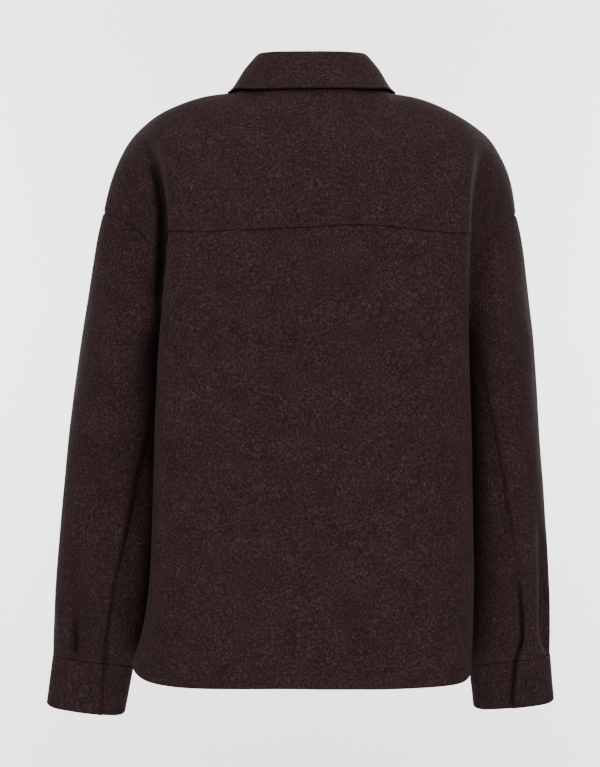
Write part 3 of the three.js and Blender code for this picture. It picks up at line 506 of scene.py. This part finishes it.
def edge_lines(bm):
    """The four edges of a panel by name, each a list of vertices from corner to corner, always the same way"""
    corners = {v for v in bm.verts if len(v.link_edges) == 2}
    walked = set()
    lines = []
    start = next(iter(corners))
    vert = start
    while len(lines) < 4:
        line = [vert]
        while len(line) == 1 or vert not in corners:
            edge = next_on_edge(vert, walked)
            walked.add(edge)
            vert = edge.other_vert(vert)
            line.append(vert)
        lines.append(line)

    def mean(line, axis):
        return sum(v.co[axis] for v in line) / len(line)

    across = [lines[0], lines[2]]
    along = [lines[1], lines[3]]
    if abs(mean(across[0], 2) - mean(across[1], 2)) < abs(mean(along[0], 2) - mean(along[1], 2)):
        across, along = along, across
    across.sort(key=lambda line: mean(line, 2))
    along.sort(key=lambda line: mean(line, 0))
    named = {"bottom": across[0], "top": across[1], "right": along[0], "left": along[1]}
    return {name: max(line, line[::-1], key=lambda way: tuple(way[0].co)) for name, line in named.items()}


def add_rows(bm, line, rings, cuts):
    """Splits the first rings of faces along an edge into finer ones"""
    seen = set(line)
    wave = set(line)
    rungs = []
    for _ in range(rings):
        ahead = {e.other_vert(v) for v in wave for e in v.link_edges} - seen
        rungs += [e for v in wave for e in v.link_edges if e.other_vert(v) in ahead]
        seen |= ahead
        wave = ahead
    bmesh.ops.subdivide_edges(bm, edges=rungs, cuts=cuts, use_grid_fill=True)


def walk_in(vert, line, reach):
    """Vertices and their distances along the grid line that leaves a panel's edge at a vertex"""
    edge = next((e for e in vert.link_edges if not e.is_boundary), None)
    if edge is None:
        edge = next(e for e in vert.link_edges if e.other_vert(vert) not in line)
    steps = [(vert, 0.0)]
    while steps[-1][1] < reach:
        here = edge.other_vert(steps[-1][0])
        steps.append((here, steps[-1][1] + edge.calc_length()))
        faces = set(edge.link_faces)
        onward = [e for e in here.link_edges if not faces & set(e.link_faces)]
        if not onward:
            break
        edge = onward[0]
    return steps


def near_edge(line, reach):
    """The vertices within reach of a panel's edge, and how far in from it each one lies"""
    done = {}
    for vert in line:
        for here, distance in walk_in(vert, set(line), reach):
            done[here] = min(distance, done.get(here, distance))
    return done


def place_on_walk(steps, distance):
    """The place and the outward direction at a distance along a walk in from an edge"""
    for (a, da), (b, db) in zip(steps, steps[1:]):
        if db >= distance:
            share = (distance - da) / (db - da)
            return a.co.lerp(b.co, share), a.normal.lerp(b.normal, share).normalized()
    return steps[-1][0].co.copy(), steps[-1][0].normal.copy()


def smoothstep(low, high, at):
    t = min(1.0, max(0.0, (at - low) / (high - low)))
    return t * t * (3 - 2 * t)


def near_underarm(spot):
    """How near a place is to the underarm's height: 1 at it, 0 well away"""
    return 1 - smoothstep(*UNDERARM["near"], abs(spot.z - UNDERARM["z"]))


def sewn_height(distance, stitch, lift, groove):
    """How far the cloth stands out beside a sewn edge: doubled up to the stitching, which sinks in"""
    before, after = DOUBLED_ENDS
    doubled = lift * (1 - smoothstep(stitch - before, stitch + after, distance))
    return doubled - groove * math.exp(-(((distance - stitch) / GROOVE_WIDTH) ** 2))


class Folds:
    """The folds of the table, laid on the panels' surface"""

    # The axes across, up and towards the viewer, and the last one's sign
    AXES = {
        "back": (0, 2, 1, 1),
        "front": (0, 2, 1, -1),
        "left": (1, 2, 0, 1),
        "right": (1, 2, 0, -1),
        "above": (0, 1, 2, 1),
    }
    FAR = 1.0
    CUT_OFF = 2.6  # half widths from its line at which a fold ends
    STEPS = 6

    def __init__(self):
        bm = bmesh.new()
        for name in PANELS:
            bm.from_mesh(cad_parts[name].data)
        tree = BVHTree.FromBMesh(bm)
        bm.free()
        self.folds = []
        for row in FOLDS:
            spots = [self.on_cloth(tree, row["seen"], spot) for spot in row["line"]]
            points = self.curve(spots)
            half = [h * MM for h in row["half"]]
            reach = self.CUT_OFF * max(half)
            low = [min(p[i] for p in points) - reach for i in (0, 1)]
            high = [max(p[i] for p in points) + reach for i in (0, 1)]
            self.folds.append((row.get("on", PANELS), self.AXES[row["seen"]], points, half, low, high))

    def on_cloth(self, tree, seen, spot):
        """A place on the line as across, up, depth and height of the fold"""
        across, up, depth, sign = self.AXES[seen]
        start = Vector((0, 0, 0))
        start[across] = spot[0] * MM
        start[up] = spot[1] * MM
        start[depth] = sign * self.FAR
        away = Vector((0, 0, 0))
        away[depth] = -sign
        hit = tree.ray_cast(start, away)[0]
        if hit is None:
            raise RuntimeError(f"a fold seen from the {seen} leaves the cloth at {spot}")
        return Vector((spot[0] * MM, spot[1] * MM, hit[depth], spot[2] * MM))

    def curve(self, spots):
        """A smooth curve through the places"""
        ends = [spots[0] * 2 - spots[1], *spots, spots[-1] * 2 - spots[-2]]
        made = []
        for before, a, b, after in zip(ends, ends[1:], ends[2:], ends[3:]):
            square = before * 2 - a * 5 + b * 4 - after
            cube = a * 3 - before - b * 3 + after
            for i in range(self.STEPS):
                t = i / self.STEPS
                made.append(a + ((b - before) + (square + cube * t) * t) * (t / 2))
        return [*made, spots[-1]]

    def push(self, panel, spot):
        """How far all the folds together move a place on a panel"""
        moved = Vector((0, 0, 0))
        for panels, (across, up, depth, sign), points, half, low, high in self.folds:
            a, b = spot[across], spot[up]
            if panel in panels and low[0] < a < high[0] and low[1] < b < high[1]:
                nearest = self.nearest(points, a, b)
                width = half[1] if a > nearest[0] else half[0]
                away = math.hypot(a - nearest[0], b - nearest[1]) / width
                if away < self.CUT_OFF:
                    level = 1 - smoothstep(*DEEP, abs(spot[depth] - nearest[2]))
                    moved[depth] += sign * nearest[3] * level * math.exp(-away * away)
        return moved

    def nearest(self, points, a, b):
        """The place on a fold's curve nearest to one across and up"""
        best, least = points[0], math.inf
        for p, q in zip(points, points[1:]):
            run_a, run_b = q[0] - p[0], q[1] - p[1]
            t = ((a - p[0]) * run_a + (b - p[1]) * run_b) / (run_a * run_a + run_b * run_b)
            t = min(1.0, max(0.0, t))
            away = (p[0] + run_a * t - a) ** 2 + (p[1] + run_b * t - b) ** 2
            if away < least:
                best, least = p.lerp(q, t), away
        return best


def unevenness(spot):
    """How far a place is moved by the cloth's slow unevenness"""
    waves = (noise.noise_vector(spot / (e["size"] * MM)) * (e["out"] * MM) for e in EASE)
    return sum(waves, Vector((0, 0, 0)))


STITCH_LINES = []  # the places and outward directions along each line of stitching, from the panels


def drape_panel(name, folds, cloth):
    """Builds one panel's cloth from its node: smoothed, folded and raised along its sewn edges"""
    bm = smoothed(outer_side(name), name, PANELS[name]["level"])
    sewn = [row for row in SEWN_EDGES if row["panel"] == name]
    rows = [row for row in SEAMS if row["panel"] == name]
    seams = [(edge, row["dip"] * MM, row["under"]) for row in rows for edge in row["edges"]]
    for row in sewn:
        add_rows(bm, edge_lines(bm)[row["edge"]], row["rings"], row["cuts"])
    for edge, _, _ in seams:
        add_rows(bm, edge_lines(bm)[edge], 1, DIP_CUTS)
    lines = edge_lines(bm)
    bm.normal_update()
    heights = dict.fromkeys(bm.verts, 0.0)
    for row in sewn:
        stitch = row["stitch"] * MM
        for vert, distance in near_edge(lines[row["edge"]], stitch * 2).items():
            heights[vert] += sewn_height(distance, stitch, row["lift"] * MM, cloth.groove)
    for edge, dip, _ in seams:
        for vert, distance in near_edge(lines[edge], DIP_FADED).items():
            heights[vert] -= dip * (1 - near_underarm(vert.co)) * math.exp(-((distance / DIP_REACH) ** 2))
    moves = {
        vert: vert.normal * height + folds.push(name, vert.co) + unevenness(vert.co)
        for vert, height in heights.items()
    }
    for edge, _, (under, more) in seams:
        for vert in lines[edge]:
            inner = walk_in(vert, set(lines[edge]), MERGE)[1][0]
            reach = under + (more - under) * near_underarm(vert.co)
            moves[vert] += (vert.co - inner.co).normalized() * reach * MM
    for vert, move in moves.items():
        vert.co += move
    bm.normal_update()
    for row in sewn:
        line = lines[row["edge"]]
        walks = [walk_in(vert, set(line), row["stitch"] * MM * 2) for vert in line]
        STITCH_LINES.append([place_on_walk(walk, row["stitch"] * MM) for walk in walks])
    panel = link_object(name + "_cloth", mesh_from(bm, name + "_cloth"))
    wall = cloth.fused_wall if name in FUSED else cloth.wall
    thick = panel.modifiers.new("Wall", "SOLIDIFY")
    thick.thickness = wall
    thick.offset = -1
    thick.use_even_offset = False
    rounded = panel.modifiers.new("Soft edges", "BEVEL")
    rounded.width = cloth.edge_radius
    rounded.segments = 2
    rounded.limit_method = "ANGLE"
    rounded.angle_limit = RIM_ANGLE
    panel.data.materials.append(material_named("melange_wool", melange_wool))
    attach(panel, "root")
    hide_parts(name)
    return panel


def drape_panels(context, names):
    noise.seed_set(SEED)
    folds = Folds()
    for name in names:
        drape_panel(name, folds, context.scene.shacket_cloth)


class SHACKET_OT_body(bpy.types.Operator):
    """Build the yoke, the back and the two fronts"""

    bl_idname = "shacket.body"
    bl_label = "Body"

    def execute(self, context):
        drape_panels(context, ["yoke", "back", "front_left", "front_right"])
        return {"FINISHED"}


class SHACKET_OT_sleeves(bpy.types.Operator):
    """Build the two sleeves and their cuffs"""

    bl_idname = "shacket.sleeves"
    bl_label = "Sleeves and cuffs"

    def execute(self, context):
        drape_panels(context, ["sleeve_left", "sleeve_right", "cuff_left", "cuff_right"])
        return {"FINISHED"}


class SHACKET_OT_collar(bpy.types.Operator):
    """Build the collar's stand and its turned-down leaf"""

    bl_idname = "shacket.collar"
    bl_label = "Collar"

    def execute(self, context):
        drape_panels(context, ["collar_stand", "collar_leaf"])
        return {"FINISHED"}


class SHACKET_OT_stitching(bpy.types.Operator):
    """Sew the topstitching along the yoke, hems, front edges and collar"""

    bl_idname = "shacket.stitching"
    bl_label = "Topstitching"

    def execute(self, context):
        if not STITCH_LINES:
            raise RuntimeError("the panels have to be built before their stitching")
        every = bmesh.new()
        for line in STITCH_LINES:
            sewn = mesh_from(self.sew(line, context.scene.shacket_stitch), "stitches")
            every.from_mesh(sewn)
            bpy.data.meshes.remove(sewn)
        thread = link_object("topstitching", mesh_from(every, "topstitching"))
        thread.data.materials.append(material_named("sewing_thread", sewing_thread))
        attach(thread, "root")
        return {"FINISHED"}

    def sew(self, line, stitch):
        """The stitches along one line"""
        bm = bmesh.new()
        due = stitch.pitch / 2
        for (a, normal), (b, _) in zip(line, line[1:]):
            run = b - a
            while due < run.length:
                self.add_stitch(bm, a + run.normalized() * due, run, normal, stitch)
                due += stitch.pitch
            due -= run.length
        return bm

    def add_stitch(self, bm, spot, run, normal, stitch):
        forward = run.normalized()
        side = normal.cross(forward).normalized()
        turn = Matrix((side, normal.normalized(), forward)).transposed().to_4x4()
        wide, high = (stitch.thread * share for share in FLATTENED)
        size = Matrix.Diagonal((wide, high, stitch.length / 2, 1))
        bmesh.ops.create_uvsphere(
            bm, u_segments=6, v_segments=4, radius=1, matrix=Matrix.Translation(spot) @ turn @ size
        )


class SHACKET_OT_studs(bpy.types.Operator):
    """Set the press studs of the front and the cuffs on the cloth"""

    bl_idname = "shacket.studs"
    bl_label = "Press studs"

    def execute(self, context):
        for node in sorted(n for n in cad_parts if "stud" in n):
            self.set_stud(node, context.scene.shacket_stud)
        return {"FINISHED"}

    def set_stud(self, node, stud):
        low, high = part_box(node)
        host = "front_right" if node.startswith("front") else node.replace("_stud", "")
        cloth = bpy.data.objects[host + "_cloth"]
        bm = bmesh.new()
        bm.from_mesh(cloth.data)
        spot, normal, _, _ = BVHTree.FromBMesh(bm).find_nearest((low + high) / 2)
        bm.free()
        turn = normal.to_track_quat("Z", "Y").to_matrix().to_4x4()
        bm = bmesh.new()
        edge = [bm.verts.new((r * stud.radius, 0, h * stud.height)) for r, h in STUD_SECTION]
        rim = [bm.edges.new(pair) for pair in zip(edge, edge[1:])]
        bmesh.ops.spin(
            bm,
            geom=[*edge, *rim],
            axis=(0, 0, 1),
            cent=(0, 0, 0),
            angle=math.tau,
            steps=stud.sides,
            use_merge=True,
        )
        bmesh.ops.remove_doubles(bm, verts=bm.verts, dist=MERGE * 10)
        bmesh.ops.recalc_face_normals(bm, faces=bm.faces)
        bmesh.ops.transform(bm, matrix=Matrix.Translation(spot) @ turn, verts=bm.verts)
        cap = link_object(node + "_cap", mesh_from(bm, node + "_cap"))
        cap.data.materials.append(material_named("oxidised_brass", oxidised_brass))
        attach(cap, "root")
        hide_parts(node)


class SHACKET_OT_stage(bpy.types.Operator):
    """Set up the pale backdrop, the soft lights and the camera"""

    bl_idname = "shacket.stage"
    bl_label = "Stage"

    def execute(self, context):
        self.add_backdrop()
        self.add_lights()
        self.add_camera(context)
        return {"FINISHED"}

    def add_backdrop(self):
        """A floor that curves up into a wall"""
        bm = bmesh.new()
        side, radius, steps = -BACKDROP["half"], BACKDROP["radius"], BACKDROP["steps"]
        hub_y, hub_z = BACKDROP["back"] + radius, BACKDROP["floor"] + radius
        path = [Vector((side, BACKDROP["front"], BACKDROP["floor"]))]
        for i in range(steps + 1):
            turn = math.pi / 2 * i / steps
            path.append(Vector((side, hub_y - radius * math.sin(turn), hub_z - radius * math.cos(turn))))
        path.append(Vector((side, BACKDROP["back"], BACKDROP["top"])))
        verts = [bm.verts.new(spot) for spot in path]
        edges = [bm.edges.new(pair) for pair in zip(verts, verts[1:])]
        made = bmesh.ops.extrude_edge_only(bm, edges=edges)["geom"]
        moved = [g for g in made if isinstance(g, bmesh.types.BMVert)]
        bmesh.ops.translate(bm, verts=moved, vec=(-2 * side, 0, 0))
        backdrop = link_object("backdrop", mesh_from(bm, "backdrop"))
        backdrop.data.materials.append(studio_paper())

    def add_lights(self):
        for row in LIGHTS:
            light = bpy.data.lights.new(row["name"], "AREA")
            light.energy = row["watts"]
            light.size = row["size"]
            lamp = link_object(row["name"] + "_light", light)
            self.aim(lamp, row)
        world = bpy.data.worlds.new("soft_studio")
        world.use_nodes = True
        world.node_tree.nodes["Background"].inputs["Color"].default_value = linear("#ffffff")
        world.node_tree.nodes["Background"].inputs["Strength"].default_value = AMBIENT
        bpy.context.scene.world = world

    def add_camera(self, context):
        camera = bpy.data.cameras.new("camera")
        camera.sensor_fit = "VERTICAL"
        camera.angle = 2 * math.atan(CAMERA["sees"] / CAMERA["at"])
        eye = link_object("camera", camera)
        self.aim(eye, CAMERA)
        context.scene.camera = eye

    def aim(self, obj, row):
        """Puts a lamp or the camera at its spot, turned to what it faces"""
        obj.location = row["spot"]
        obj.rotation_mode = "QUATERNION"
        obj.rotation_quaternion = (Vector(row["aim"]) - obj.location).to_track_quat("-Z", "Y")


class SHACKET_PT_panel(bpy.types.Panel):
    """Lists the shacket's parts in the sidebar"""

    bl_label = "Shacket"
    bl_space_type = "VIEW_3D"
    bl_region_type = "UI"
    bl_category = "Shacket"

    def draw(self, context):
        for operator in OPERATORS:
            self.layout.operator(operator.bl_idname)
        for group in SETTINGS:
            settings = getattr(context.scene, group)
            for name in settings.__annotations__:
                self.layout.prop(settings, name)


SETTINGS = {"shacket_cloth": ClothSettings, "shacket_stitch": StitchSettings, "shacket_stud": StudSettings}
OPERATORS = [
    SHACKET_OT_body,
    SHACKET_OT_sleeves,
    SHACKET_OT_collar,
    SHACKET_OT_stitching,
    SHACKET_OT_studs,
    SHACKET_OT_stage,
]


def register():
    for kind in [*SETTINGS.values(), *OPERATORS, SHACKET_PT_panel]:
        bpy.utils.register_class(kind)
    for name, kind in SETTINGS.items():
        setattr(bpy.types.Scene, name, PointerProperty(type=kind))


def unregister():
    for name in SETTINGS:
        delattr(bpy.types.Scene, name)
    for kind in [SHACKET_PT_panel, *OPERATORS, *SETTINGS.values()]:
        bpy.utils.unregister_class(kind)


def main():
    register()
    bpy.ops.shacket.body()
    bpy.ops.shacket.sleeves()
    bpy.ops.shacket.collar()
    bpy.ops.shacket.stitching()
    bpy.ops.shacket.studs()
    bpy.ops.shacket.stage()
    bpy.context.view_layer.update()


if __name__ == "__main__":
    main()
